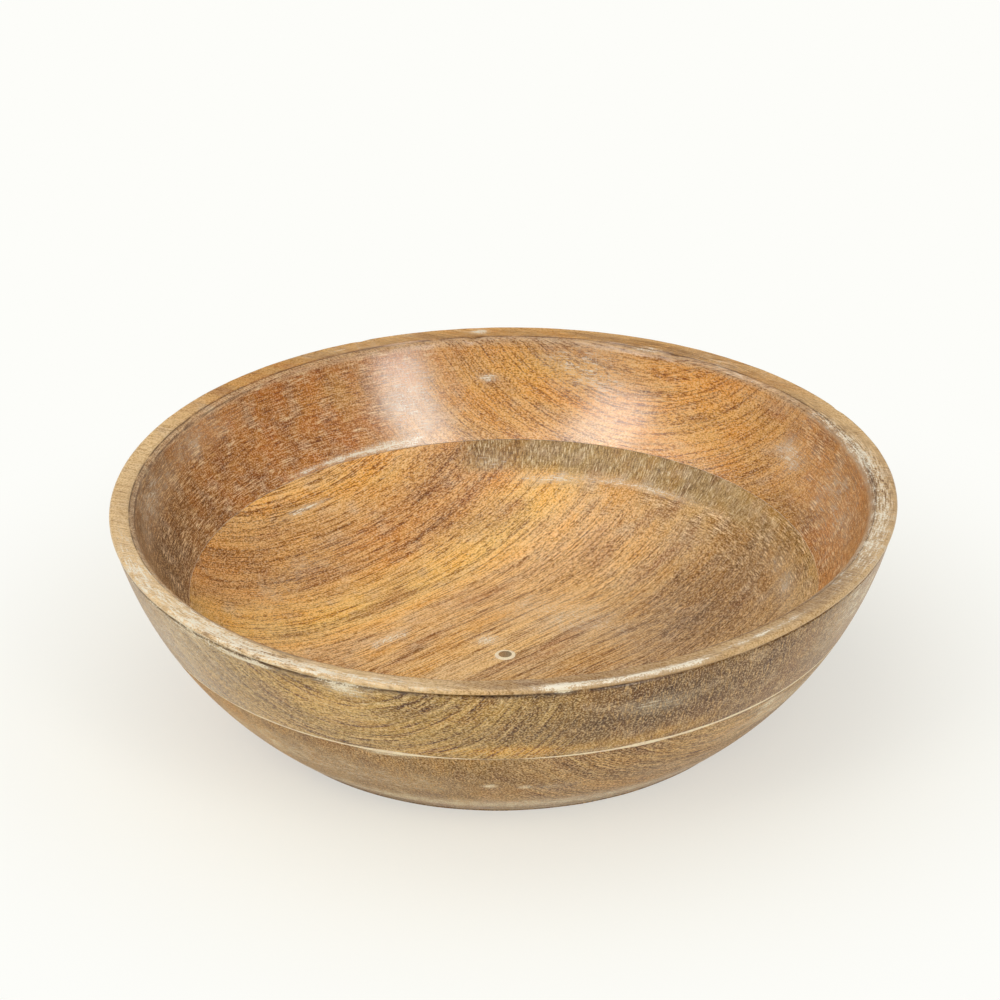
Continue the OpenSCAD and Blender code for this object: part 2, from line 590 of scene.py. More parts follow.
# %% Dark stain and painted shade
stain_and_painted_shade_upper = {
    "inside": (
        # The first two dabs inside are painted shade on the left wall, which faces away from the key lamp
        (184, 56, 46, 18, 1.0), (178, 76, 50, 6, 0.6), (150, 50, 30, 14, 0.2), (22, 48, 44, 6, 0.4),
        (40, 64, 16, 10, 0.2),
    ),
    "outside": (
        # The last dab here is painted shade in the groove under the bead
        (-67, 66, 40, 18, 1.0), (-84, 58, 24, 7, 0.35), (-80, 78, 24, 2, 0.2),
    ),
    "rim": (
        (-88, 4, 34, 5, 0.7), (-34, 5, 46, 6, 0.75), (-4, 3, 40, 4, 0.25), (62, 4, 70, 3, 0.1),
        (6, 7.4, 32, 1.2, 0.9),
    ),
}
dark_lower = {
    "inside": (
        (133, 35.5, 16, 1.0, 0.7), (139, 37, 10, 1.2, 0.45), (104, 40, 12, 3.0, 0.3),
        (94, 41, 14, 4.0, 0.35), (98, 22, 18, 7, 0.3), (12, 30, 36, 10, 0.3),
    ),
    "floor": (
        (17, 80, 34, 20, 0.7), (28, 56, 30, 14, 0.25), (38, 96, 36, 14, 0.25),
    ),
    "outside": ((-80, 28, 44, 10, 0.3),),
}
wear_layer(rim_plank, "stain", stain_and_painted_shade_upper)
wear_layer(base_plank, "stain", dark_lower)

# %% [markdown]
# ## Bare gold and rough places
# Beside the seam and high on the back wall the wood is bare and golden. The rim's top is rough where the
# finish has flaked, and dirt sits there. Only the upper plank has rough places.

# %% Gold and roughness
gold_upper = {
    "outside": (
        (-89, 49.0, 22, 2.8, 1.2), (-67, 49, 26, 3.0, 0.6), (-118, 66, 24, 8, 0.3),
    ),
    "inside": (
        (55, 62, 36, 16, 0.2), (96, 58, 14, 14, 0.2), (82, 70, 18, 9, 0.55), (120, 68, 16, 8, 0.3),
    ),
    "rim": ((-56, 4.6, 60, 4, 0.5),),
}
gold_lower = {
    "inside": (
        (118, 38, 30, 6, 0.25), (150, 24, 30, 9, 0.25), (16, 43, 40, 3, 0.2),
    ),
    "outside": ((-55, 36, 30, 5, 0.4),),
}
rough_upper = {
    "rim": (
        (2, 5, 44, 5, 0.85), (24, 8, 24, 3, 0.5), (60, 5, 70, 5, 0.6), (105, 6, 50, 4, 0.35),
        (-128, 2.6, 40, 5, 0.95), (-70, 1.4, 26, 2, 0.6),
    ),
}
for name, upper, lower in (("gold", gold_upper, gold_lower), ("rough", rough_upper, {})):
    wear_layer(rim_plank, name, upper)
    wear_layer(base_plank, name, lower)

# %% [markdown]
# ## Faces of the bowl
# The outside, the rim's top, the bevel, the small cuts and a dull band inside each have a finish of their
# own.
# The outside's darker, greyer tint and the darkening in the cuts are partly painted shade. They could be
# separate materials, but those meet in a hard line. Here each is a share from 0 to 1, worked out from a
# point's radius, height and angle, so that one finish runs softly into the next.

# %% Shares of the faces
def on_outside(r, z, angle):
    """1 on the outside of the wall and under the foot, 0 inside, with a short change over the rim."""
    if z < floor_t / 2:
        return 1.0
    level = min(max(z, floor_t), bowl_h - 4)
    return clamp(2 * (r - hollow_at(level)) / (belly_at(level) - hollow_at(level)) - 0.5)


def on_rim(r, z, angle):
    """1 on the bead and the rim's top, 0 on the walls."""
    return between(z, bowl_h - 3.0, bowl_h - 2.2) * between(r, rim_inner_r + 1.6, rim_inner_r + 2.2)


def on_outer_wall(r, z, angle):
    """1 on the outside below the rim, 0 elsewhere."""
    return on_outside(r, z, angle) * (1 - on_rim(r, z, angle))


def on_bevel(r, z, angle):
    """1 on the bevel inside the scored line."""
    return between(z, rim_inner_z - 2.4, rim_inner_z - 1.0) * between(r, score_r + 0.1, score_r - 0.3)


def shade_and_stain_in_cuts(r, z, angle):
    """Painted shade and old stain in the groove under the bead, the scored line and, in places, the inner
    edge.
    """
    groove = clamp(1.5 - abs(z - bowl_h + 2 * bead_r + groove_w / 2) / 0.6) * clamp(r - rim_r + 4)
    groove *= 1 - 0.6 * between(angle, radians(-80), radians(-70)) * between(angle, radians(0), radians(-20))
    scored = clamp(1.2 - abs(r - rim_inner_r - bevel_w) / 0.35) * between(z, bowl_h - 2.2, bowl_h - 1.7)
    edge = clamp(1.4 - hypot(r - rim_inner_r - 0.2, z - rim_inner_z + 0.4) / 0.4)
    right = between(angle, radians(-20), radians(10)) * between(angle, radians(85), radians(70))
    left = between(abs(angle), radians(125), radians(140))
    return max(groove, scored, edge * max(0.2, 0.4 * right, 0.8 * left))


def on_band(r, z, angle):
    """The dull band inside, under the seam from the back round to the right, where end grain shows."""
    low = 35.6 + 1.2 * around(angle, 30, 6.1)
    stretch = between(angle, radians(100), radians(95)) * between(angle, radians(14), radians(48))
    return between(z, low - 0.8, low + 0.8) * stretch * (z < seam_mid) * (1 - on_outside(r, z, angle))


def pale_rim(r, z, angle):
    """Bare pale wood on the rim, less of it at the back, where lacquered brown is left."""
    back = between(angle, radians(25), radians(55)) * between(angle, radians(158), radians(140))
    return on_rim(r, z, angle) * (1 - 0.75 * back)


for name, share in (("outside", on_outer_wall), ("rim", pale_rim), ("bevel", on_bevel), ("cuts", shade_and_stain_in_cuts),
                    ("band", on_band)):
    wear_layer(rim_plank, name, base=share)
    wear_layer(base_plank, name, base=share)

# %% [markdown]
# ## How strongly each mark shows
# Lacquer fills pores and hides fine marks, and hands and cloths wear it away. Dashes and growth lines show
# most outside, where little of it is left, and highlights most inside at the back. These are shares as well,
# because a cut-out mask would end in a hard line.

# %% Shares of the marks and the lacquer
def fur_share(r, z, angle):
    """How strongly the fine dashes show: most outside, a little less inside, least on the rim and band."""
    return 0.85 + 0.1 * on_outside(r, z, angle) - 0.6 * on_rim(r, z, angle) - 0.65 * on_band(r, z, angle)


def line_share(r, z, angle):
    """How strongly thin growth lines show: most outside, where the whitewash was rubbed off them."""
    floor = 0.15 * (z < seam_mid) * (1 - on_outside(r, z, angle))
    return 0.65 + floor + 0.35 * on_outside(r, z, angle) - 0.5 * on_rim(r, z, angle)


def hair_share(r, z, angle):
    """How strongly pale hair lines show on end grain: most inside at the right, and not on the dull band."""
    right = 0.35 * between(cos(angle), 0.5, 0.9)
    return (0.75 + right) * (1 - 0.6 * on_outside(r, z, angle)) - on_band(r, z, angle)


def lacquer_share(r, z, angle):
    """How much clear lacquer is left: most inside at the back, less at the sides, little outside."""
    worn_off = max(0.6 * on_rim(r, z, angle), 0.7 * on_bevel(r, z, angle))
    sides = 0.75 * between(abs(cos(angle)), 0.55, 0.9)
    return (1 - 0.78 * on_outside(r, z, angle)) * (1 - worn_off) * (1 - sides)


for name, share in (("fur", fur_share), ("lines", line_share), ("hair", hair_share),
                    ("lacquer", lacquer_share)):
    wear_layer(rim_plank, name, base=share)
    wear_layer(base_plank, name, base=share)

# %% [markdown]
# ## Colours and nodes
# Colours are written as sRGB hex, as a paint chart gives them, and one function turns them into the linear
# values that Blender mixes. One more function adds a node, sets it up and links it, for every kind of node.

# %% Helpers for materials
def paint(hex_colour):
    """An sRGB hex colour as linear RGBA."""
    shares = [int(hex_colour[i:i + 2], 16) / 255 for i in (1, 3, 5)]
    return [s / 12.92 if s <= 0.04045 else ((s + 0.055) / 1.055) ** 2.4 for s in shares] + [1.0]


def add(tree, kind, settings=None, inputs=None, out=0):
    """Adds a node with its settings, fills or links its inputs, and returns one of its outputs."""
    node = tree.nodes.new("ShaderNode" + kind)
    for key, value in (settings or {}).items():
        setattr(node, key, value)
    for key, value in (inputs or {}).items():
        if isinstance(value, bpy.types.NodeSocket):
            tree.links.new(value, node.inputs[key])
        else:
            node.inputs[key].default_value = value
    return node.outputs[out] if node.outputs else node


def new_material(name):
    """An empty material and its node tree."""
    material = bpy.data.materials.new(name)
    material.use_nodes = True
    material.node_tree.nodes.clear()
    return material, material.node_tree


print(f"middle grey #808080 is {paint('#808080')[0]:.3f} in linear light")

# %% [markdown]
# ## Grain that runs through the plank
# Mango is a mid-brown wood with golden and purplish stripes and open pores, which show as short dark dashes
# along the grain. An unwrapped picture would smear over the bowl's curves, so the grain is solid: each point
# asks where it lies along, across and up its own plank, in millimetres. The layers wander sideways a little,
# which bends the stripes as a growing tree does.

# %% Growth layers and heartwood stripes
plank_half = 150
wander_mm = (130, 50, 80)


def growth_layers(tree, spot, grain_deg, drift_mm, seed):
    """A point's place along, across and up the plank in millimetres, after the layers have wandered."""
    grain = add(tree, "Mapping", inputs={
        "Vector": spot, "Rotation": (0, 0, -radians(grain_deg)), "Scale": (1 / MM, 1 / MM, 1 / MM)})
    place = add(tree, "VectorMath", {"operation": "MULTIPLY_ADD"},
                {0: grain, 1: tuple(1 / mm for mm in wander_mm), 2: (seed, seed, seed)})
    wander = add(tree, "TexNoise", inputs={"Vector": place, "Scale": 1.0, "Detail": 2.0})
    shift = add(tree, "MapRange", inputs={"Value": wander, "To Min": -drift_mm, "To Max": drift_mm})
    sideways = add(tree, "CombineXYZ", inputs={"Y": shift})
    return add(tree, "VectorMath", {"operation": "ADD"}, {0: grain, 1: sideways})


def heartwood(tree, layers, stripes):
    """Colour across the plank. Stripes are (millimetres from the middle, colour) from side to side."""
    across = add(tree, "SeparateXYZ", inputs={0: layers}, out="Y")
    share = add(tree, "MapRange", inputs={"Value": across, "From Min": -plank_half, "From Max": plank_half})
    colour = add(tree, "ValToRGB", inputs={"Fac": share})
    ramp = colour.node.color_ramp
    while len(ramp.elements) < len(stripes):
        ramp.elements.new(0.5)
    for element, (offset, stripe) in zip(ramp.elements, stripes):
        element.position = (offset + plank_half) / (2 * plank_half)
        element.color = paint(stripe)
    return colour


print(f"stripes lie across {2 * plank_half} mm of plank")

# %% [markdown]
# ## Marks of the grain
# Pores, growth lines and clouds of colour are noise, stretched to each mark's size in millimetres. A Wave
# texture would give growth lines too, but all at one spacing.

# %% Noise for the grain
# Each mark of the grain: its size in millimetres along, across and up the plank, then noise detail.
# Real pores are about 0.2 mm wide. They are drawn at twice that or more, so that they show.
grain_marks = {
    "cloud": ((46, 10, 14), 2),
    "haze": ((13, 8, 8), 3),
    "ring": ((160, 2.4, 80), 1),
    "line": ((26, 0.42, 14), 1),
    "dust": ((0.8, 0.6, 0.6), 1),
}


def grain_noise(tree, layers, dash_mm, seed):
    """Noise for each mark of the grain. Dashes have a length and a width of their own in each plank."""
    marks = {}
    for key, (size, detail) in {**grain_marks, "dash": ((*dash_mm, dash_mm[1]), 2)}.items():
        place = add(tree, "VectorMath", {"operation": "MULTIPLY_ADD"},
                    {0: layers, 1: tuple(1 / mm for mm in size), 2: (seed, 2 * seed, 3 * seed)})
        marks[key] = add(tree, "TexNoise", inputs={
            "Vector": place, "Scale": 1.0, "Detail": detail, "Roughness": 0.55})
    return marks


print("marks of the grain:", ", ".join(grain_marks), "and dash")

# %% [markdown]
# ## Marks of rubbing
# Tools and cloths leave marks that follow the bowl and not the grain: scratches round it from the lathe, and
# strokes up its wall. They could be drawn on an unwrapped strip, but the strip would have a join. Here the
# noise is wrapped round the bowl by a point's direction from its axis.

# %% Noise for the rubbing
# Each mark of rubbing: its size in millimetres round the wall, at this radius, then up the wall.
# Real scratches are hair-thin. They are drawn several times wider, so that they show.
wall_r = 138
rub_marks = {"scratch": (5.75, 0.62), "stroke": (0.6, 4)}


def rubbing_noise(tree, spot):
    """Noise for the scratches round the bowl and the strokes up its wall."""
    flat = add(tree, "VectorMath", {"operation": "MULTIPLY"}, {0: spot, 1: (1, 1, 0)})
    round_way = add(tree, "VectorMath", {"operation": "NORMALIZE"}, {0: flat})
    away = add(tree, "VectorMath", {"operation": "LENGTH"}, {0: flat}, out="Value")
    rise = add(tree, "SeparateXYZ", inputs={0: spot}, out="Z")
    profile = add(tree, "Math", {"operation": "ADD"}, {0: away, 1: rise})
    marks = {}
    for key, (round_mm, up_mm) in rub_marks.items():
        turns = wall_r / round_mm
        up = add(tree, "Math", {"operation": "MULTIPLY"}, {0: profile, 1: 1 / (up_mm * MM)})
        upward = add(tree, "CombineXYZ", inputs={"Z": up})
        place = add(tree, "VectorMath", {"operation": "MULTIPLY_ADD"},
                    {0: round_way, 1: (turns, turns, turns), 2: upward})
        marks[key] = add(tree, "TexNoise", inputs={"Vector": place, "Scale": 1.0, "Detail": 2.0})
    return marks


print("marks of rubbing:", ", ".join(rub_marks))

# %% [markdown]
# ## End grain and fur
# Where the wall cuts across the fibres, growth layers blur and the wood drinks more stain. The wall's normal,
# set against the way of the grain, says how far that is so. The pores make a fur of fine dashes: in rows
# along the growth layers on side grain, round the bowl on end grain inside, and combed up the wall on end
# grain outside. Single modelled hairs would be far too many, so the fur is one more noise value.

# %% End grain and the fur of pores
def end_grain(tree, grain_deg, haze):
    """How far a face is turned towards the end of the grain, from 0 to 1, with a hazy border."""
    facing = add(tree, "TexCoord", out="Normal")
    grain_way = (cos(radians(grain_deg)), sin(radians(grain_deg)), 0)
    along = add(tree, "VectorMath", {"operation": "DOT_PRODUCT"}, {0: facing, 1: grain_way}, out="Value")
    along = add(tree, "Math", {"operation": "ABSOLUTE"}, {0: along})
    along = add(tree, "Math", {"operation": "MULTIPLY_ADD"}, {0: haze, 1: 0.35, 2: along})
    return add(tree, "MapRange", {"interpolation_type": "SMOOTHSTEP"},
               {"Value": along, "From Min": 0.60, "From Max": 0.82})


def fur_of_pores(tree, wood):
    """Adds the growth lines and the fur of pores to the marks of the wood."""
    off_ring = add(tree, "Math", {"operation": "SUBTRACT"}, {0: wood["ring"], 1: 0.5})
    off_ring = add(tree, "Math", {"operation": "ABSOLUTE"}, {0: off_ring})
    wood["ring_line"] = add(tree, "MapRange", inputs={"Value": off_ring, "From Min": 0.15, "From Max": 0.0})
    wood["haired"] = add(tree, "Math", {"operation": "MULTIPLY"}, {0: wood["hair"], 1: wood["end"]})
    outer_end = add(tree, "Math", {"operation": "MULTIPLY"}, {0: wood["outside"], 1: wood["end"]})
    rows = add(tree, "Math", {"operation": "MULTIPLY_ADD"}, {0: wood["ring_line"], 1: 0.10, 2: wood["dash"]})
    tufts = add(tree, "Math", {"operation": "MULTIPLY_ADD"}, {0: wood["haze"], 1: 0.12, 2: wood["scratch"]})
    combed = add(tree, "Math", {"operation": "MULTIPLY_ADD"}, {0: wood["stroke"], 1: 0.6, 2: 0.24})
    inside_fur = add(tree, "Mix", inputs={0: wood["haired"], 2: rows, 3: tufts})
    wood["pores"] = add(tree, "Mix", inputs={0: outer_end, 2: inside_fur, 3: combed})


print("fur of pores: rows, tufts and combed strokes")

# %% [markdown]
# ## Broken marks
# No mark on old wood is even: growth lines fade, the painted shade and stain in a cut break up, whitewash
# breaks into streaks and specks. Each such mark is one pattern that opens and closes another. Masks painted
# by hand would do the same for one view, but these hold from every side.

# %% Marks that fade and break
def broken_marks(tree, wood, specks):
    """Adds marks that one pattern opens and closes. Specks are the share of dust inside and outside."""
    side = add(tree, "Math", {"operation": "MULTIPLY_ADD"}, {0: wood["end"], 1: -0.85, 2: 1.0})
    wood["pale"] = add(tree, "Math", {"operation": "MULTIPLY"}, {0: wood["fur"], 1: 0.5})
    wood["ringed"] = add(tree, "Math", {"operation": "MULTIPLY"}, {0: wood["lines"], 1: side})
    wood["glints"] = add(tree, "Math", {"operation": "MULTIPLY"}, {0: wood["ringed"], 1: wood["outside"]})
    # Each new mark: the pattern that opens it, where that starts and is full, and the mark it opens
    for key, opened_by, start, full, whole in (
        ("faint", "haze", 0.4, 0.62, "ringed"),
        ("broken_shade_and_stain_cut", "haze", 0.28, 0.5, "cuts"),
        ("end_pale", "haze", 0.40, 0.60, "haired"),
        ("band_stroke", "stroke", 0.55, 0.68, "band"),
        ("band_dark", "stroke", 0.47, 0.37, "band"),
    ):
        wood[key] = add(tree, "MapRange", inputs={
            "Value": wood[opened_by], "From Min": start, "From Max": full, "To Max": wood[whole]})
    ragged = wood["whitewash"]
    for key, strength in (("scratch", 2.2), ("dust", 1.8), ("haze", 0.8)):
        ragged = add(tree, "Math", {"operation": "MULTIPLY_ADD"}, {0: wood[key], 1: strength, 2: ragged})
    wood["ragged"] = ragged
    wood["left_on"] = add(tree, "MapRange", inputs={
        "Value": wood["whitewash"], "From Min": 0.08, "From Max": 0.4, "To Max": 0.95})
    inside, outside = specks
    wood["speckled"] = add(tree, "Math", {"operation": "MULTIPLY_ADD"},
                           {0: wood["outside"], 1: outside - inside, 2: inside})


print("whitewash breaks along scratches, dust and haze")

# %% [markdown]
# ## Coats of the finish
# The real finish was built up in coats, from bare wood and stain out to whitewash rubbed back. The colours
# are laid in that order, one mix over another, each with a pattern that says how much of it there is. One
# picture could hold the sum of them, but then no coat could be changed alone.

# %% Coats of the finish
# The layers of wear, of painted light and of painted shade that the nodes read
worn = ("outside", "rim", "bevel", "cuts", "band", "fur", "lines", "hair", "lacquer", "gold", "stain",
        "rough", "whitewash")
# What says how much of a colour there is, where that starts and is full, the most of it, how it is laid and
# its colour. The words outside, end and ring stand for the plank's own tints.
coats = (
    # The outside tint is partly the wood's own finish and partly painted shade on the outer wall, which faces
    # down and away from the lamps
    ("outside", 0, 1, 1, "MULTIPLY", "outside"),
    ("end", 0, 1, 1, "MULTIPLY", "end"),
    ("band", 0, 1, 0.75, "MIX", "#A89262"),
    ("gold", 0, 1, 1, "MIX", "#F4C24A"),
    ("cloud", 0.58, 0.34, 1, "MULTIPLY", "#FFE8B4"),
    ("cloud", 0.50, 0.72, 1, "MULTIPLY", "#D2B8A8"),
    ("rim", 0, 1, 0.85, "MIX", "#FFDDA8"),
    ("bevel", 0, 1, 0.65, "MIX", "#DCB894"),
    # Stain, which on the left inner wall and in the groove under the bead is painted shade
    ("stain", 0, 1, 1, "MULTIPLY", "#8C7464"),
    ("haze", 0.55, 0.72, 0.4, "MIX", "#DCC4AA"),
    ("ring_line", 0.84, 0.98, "faint", "MULTIPLY", "#B08828"),
    ("line", 0.55, 0.64, "ringed", "MULTIPLY", "ring"),
    ("line", 0.42, 0.24, "glints", "MIX", "#E2C690"),
    ("pores", 0.585, 0.695, "fur", "MULTIPLY", "#9C7800"),
    ("pores", 0.53, 0.42, "pale", "MIX", "#FFD28C"),
    ("scratch", 0.45, 0.36, "end_pale", "MIX", "#F8DCB0"),
    ("band_dark", 0, 1, 0.65, "MULTIPLY", "#8C7840"),
    ("band_stroke", 0, 1, 0.8, "MIX", "#ECDCB4"),
    ("stroke", 0.54, 0.66, "whitewash", "MIX", "#F2DEBE"),
    ("dust", 0.52, 0.62, "speckled", "MULTIPLY", "#B09030"),
    ("dust", 0.47, 0.36, "pale", "MIX", "#F8DCB0"),
    # Painted shade and old stain in the cuts, broken up
    ("broken_shade_and_stain_cut", 0, 1, 0.85, "MULTIPLY", "#50382A"),
    # Whitewash; some of its dabs are painted highlight and painted bounce light
    ("whitewash", 0.05, 0.65, 0.32, "MIX", "#DCCAB0"),
    ("ragged", 2.86, 3.14, "left_on", "MIX", "#F6EBD4"),
    ("ragged", 2.72, 2.40, "rough", "MULTIPLY", "#745444"),
)
print(f"{len(coats)} coats over the bare wood, {len(worn)} layers of wear")

# %% [markdown]
# ## Mango wood
# This brings the grain, the marks and the coats together under the lacquer. Wood fibre and lacquer both have
# an IOR near 1.5. The lacquer's is set higher, to match the bowl's bright highlights. It is a coat on the
# shader and not a second skin of mesh, because it is thinner than the finest mark in the wood.

# %% Mango wood, turned, sanded and lacquered
def mango_wood(name, grain_deg, drift_mm, seed, dash_mm, specks, stripes, tints, satin, dull, lacquer):
    """Solid grain for one plank. Satin and dull are its least and most roughness."""
    # Turning and sanding leave fine rings that break up the shine. Lacquer over them gives the eye soft
    # satin highlights, and dry, paler wood where it has worn off.
    material, tree = new_material(name)
    spot = add(tree, "TexCoord", out="Object")
    layers = growth_layers(tree, spot, grain_deg, drift_mm, seed)
    wood = {**grain_noise(tree, layers, dash_mm, seed), **rubbing_noise(tree, spot)}
    for key in worn:
        wood[key] = add(tree, "Attribute", {"attribute_name": key}, out="Fac")
    wood["end"] = end_grain(tree, grain_deg, wood["haze"])
    fur_of_pores(tree, wood)
    broken_marks(tree, wood, specks)

    colour = heartwood(tree, layers, stripes)
    for pattern, start, full, most, blend, tint in coats:
        amount = add(tree, "MapRange", inputs={
            "Value": wood[pattern], "From Min": start, "From Max": full, "To Max": wood.get(most, most)})
        colour = add(tree, "Mix", {"data_type": "RGBA", "blend_type": blend},
                     {0: amount, 6: colour, 7: paint(tints.get(tint, tint))}, out=2)

    height = add(tree, "Math", {"operation": "MULTIPLY_ADD"}, {0: wood["pores"], 1: -1.0, 2: wood["scratch"]})
    bump = add(tree, "Bump", inputs={"Height": height, "Distance": 0.04 * MM, "Strength": 0.5})
    shine = add(tree, "MapRange", inputs={
        "Value": wood["haze"], "From Min": 0.3, "From Max": 0.7, "To Min": satin, "To Max": dull})
    shine = add(tree, "Math", {"operation": "MULTIPLY_ADD"}, {0: wood["end"], 1: 0.12, 2: shine})
    coat = add(tree, "Math", {"operation": "MULTIPLY"}, {0: wood["lacquer"], 1: lacquer})
    shader = add(tree, "BsdfPrincipled", inputs={
        "Base Color": colour, "Roughness": shine, "IOR": 1.5, "Specular IOR Level": 0.2, "Normal": bump,
        "Coat Weight": coat, "Coat Roughness": satin, "Coat IOR": 1.75})
    add(tree, "OutputMaterial", inputs={"Surface": shader})
    print(f"{name}: {len(stripes)} stripes, {len(coats)} coats, {len(tree.nodes)} nodes")
    return material


# %% [markdown]
# ## The two planks
# The upper plank is the redder one and still has its lacquer inside. The lower one is more golden and drier.
# They came from different boards, so each has its own way of the grain, stripes and length of dash.

# %% Upper and lower plank
# Each plank's outside tint is partly painted shade on the outer wall
rim_plank.data.materials.append(mango_wood(
    "mango wood, turned, sanded and lacquered, upper plank", grain_deg=-25, drift_mm=4, seed=3.7,
    dash_mm=(5, 0.4), specks=(0.5, 0.7), satin=0.20, dull=0.32, lacquer=1.0,
    stripes=((-150, "#EDC783"), (-110, "#DEB678"), (-60, "#B48E66"), (-20, "#C8A06C"), (15, "#E0AA60"),
             (45, "#DA9C3E"), (70, "#D89A3C"), (88, "#DCA85A"), (110, "#EAB468"), (135, "#FAC070"),
             (150, "#FCC880")),
    tints={"outside": "#D6DAC4", "end": "#E6D2BC", "ring": "#A07C20"}))
base_plank.data.materials.append(mango_wood(
    "mango wood, turned, sanded and lacquered, lower plank", grain_deg=42, drift_mm=2.5, seed=9.1,
    dash_mm=(13, 0.5), specks=(0.5, 0.95), satin=0.34, dull=0.5, lacquer=0.15,
    stripes=((-130, "#D2B688"), (-75, "#CFB084"), (-50, "#CAA67C"), (-25, "#D0AC80"), (-8, "#EAC694"),
             (8, "#FCD8A2"), (22, "#F4C88A"), (40, "#FAD098"), (52, "#FED294"), (64, "#FFD682"),
             (75, "#FACA7A"), (84, "#DEA664"), (98, "#D0985A"), (116, "#FFD088")),
    tints={"outside": "#F2ECE8", "end": "#D8D2BC", "ring": "#B89840"}))

# %% [markdown]
# ## Filler
# The filler is a cream paste of chalk and glue, rubbed in with a thumb and sanded when dry. It dries a little
# uneven, pinkish in places, and dust settles in its pits. A plain colour would look like plastic, so two
# sizes of noise give the patches and the pits.

# %% Cream filler, rubbed in and sanded
patch_mm = 4
pit_mm = 0.5


def cream_filler(name, cream, pink, dirt):
    """Chalky paste with soft pinkish patches and dirt in its pits."""
    # Sanded chalk has no sheen, so it looks flat and bright beside the wood
    material, tree = new_material(name)
    spot = add(tree, "TexCoord", out="Object")
    patch = add(tree, "TexNoise", inputs={"Vector": spot, "Scale": 1 / (patch_mm * MM), "Detail": 3.0})
    pit = add(tree, "TexNoise", inputs={"Vector": spot, "Scale": 1 / (pit_mm * MM), "Detail": 2.0})
    share = add(tree, "MapRange", inputs={"Value": patch, "From Min": 0.45, "From Max": 0.65})
    colour = add(tree, "Mix", {"data_type": "RGBA"}, {0: share, 6: paint(cream), 7: paint(pink)}, out=2)
    share = add(tree, "MapRange", inputs={"Value": pit, "From Min": 0.55, "From Max": 0.72, "To Max": patch})
    colour = add(tree, "Mix", {"data_type": "RGBA"}, {0: share, 6: colour, 7: paint(dirt)}, out=2)
    bump = add(tree, "Bump", inputs={"Height": pit, "Distance": 0.05 * MM, "Strength": 0.6})
    shader = add(tree, "BsdfPrincipled", inputs={
        "Base Color": colour, "Roughness": 0.65, "IOR": 1.5, "Specular IOR Level": 0.3, "Normal": bump})
    add(tree, "OutputMaterial", inputs={"Surface": shader})
    print(f"{name}: patches of {patch_mm} mm, pits of {pit_mm} mm")
    return material


seam_film.data.materials.append(
    cream_filler("cream glue and filler, rubbed in and sanded", "#FFF2D6", "#F6E2CC", "#C8A878"))
plug_filler.data.materials.append(
    cream_filler("cream filler, rubbed in and sanded", "#FBEBC6", "#F2DCC0", "#BE9C70"))

# %% [markdown]
# ## End grain of the plug
# The plug shows its fibres end on: parts of rings, and pores as dots. Blender's Wave texture draws rings too,
# but evenly. Here the distance from a heart beyond the plug's left edge goes into noise, so that no two rings
# are alike.

# %% Mango wood end grain, sanded
plug_ring_mm = 0.5
plug_pore_mm = 0.4
heart_off_mm = 4


def plug_end_grain(name):
    """Rings round a heart that lies to the left of the plug, with dark pores."""
    # End grain sanded across drinks dirt, so it looks dark and dull
    material, tree = new_material(name)
    spot = add(tree, "TexCoord", out="Object")
    heart = (-heart_off_mm * MM, plug_shift * MM, floor_t * MM)
    from_heart = add(tree, "VectorMath", {"operation": "DISTANCE"}, {0: spot, 1: heart}, out="Value")
    ring = add(tree, "Math", {"operation": "MULTIPLY"}, {0: from_heart, 1: 1 / (plug_ring_mm * MM)})
    ring = add(tree, "TexNoise", {"noise_dimensions": "1D"}, {"W": ring, "Scale": 1.0, "Detail": 1.0})
    pore = add(tree, "TexNoise", inputs={"Vector": spot, "Scale": 1 / (plug_pore_mm * MM), "Detail": 1.0})
    across = add(tree, "MapRange", inputs={"Value": from_heart, "From Min": 2 * MM, "From Max": 6.5 * MM})
    colour = add(tree, "Mix", {"data_type": "RGBA"},
                 {0: across, 6: paint("#B08A5C"), 7: paint("#94876A")}, out=2)
    for pattern, start, full, most, tint in ((ring, 0.5, 0.65, 0.5, "#7A5A38"),
                                             (pore, 0.58, 0.68, 0.8, "#4A3422")):
        share = add(tree, "MapRange", inputs={
            "Value": pattern, "From Min": start, "From Max": full, "To Max": most})
        colour = add(tree, "Mix", {"data_type": "RGBA"}, {0: share, 6: colour, 7: paint(tint)}, out=2)
    bump = add(tree, "Bump", {"invert": True}, {"Height": pore, "Distance": 0.05 * MM, "Strength": 0.5})
    shader = add(tree, "BsdfPrincipled", inputs={
        "Base Color": colour, "Roughness": 0.5, "IOR": 1.5, "Specular IOR Level": 0.3, "Normal": bump})
    add(tree, "OutputMaterial", inputs={"Surface": shader})
    print(f"{name}: rings of {plug_ring_mm} mm, pores of {plug_pore_mm} mm")
    return material


centre_plug.data.materials.append(plug_end_grain("mango wood end grain, sanded"))

# %% [markdown]
# ## Table
# The bowl stands on a plain white table. Near the bowl almost half of what shows is matt paint, which keeps
# the bowl's shadow. Further out it fades to even white, but only to the camera and to reflections, so that
# the white adds no light to the wood. A shadow catcher could do this too, but it needs a compositor.

# %% Matt white paint, rolled
table_half = 8.0
shadow_from, shadow_to = 0.09, 0.28
white_near_bowl = 0.55


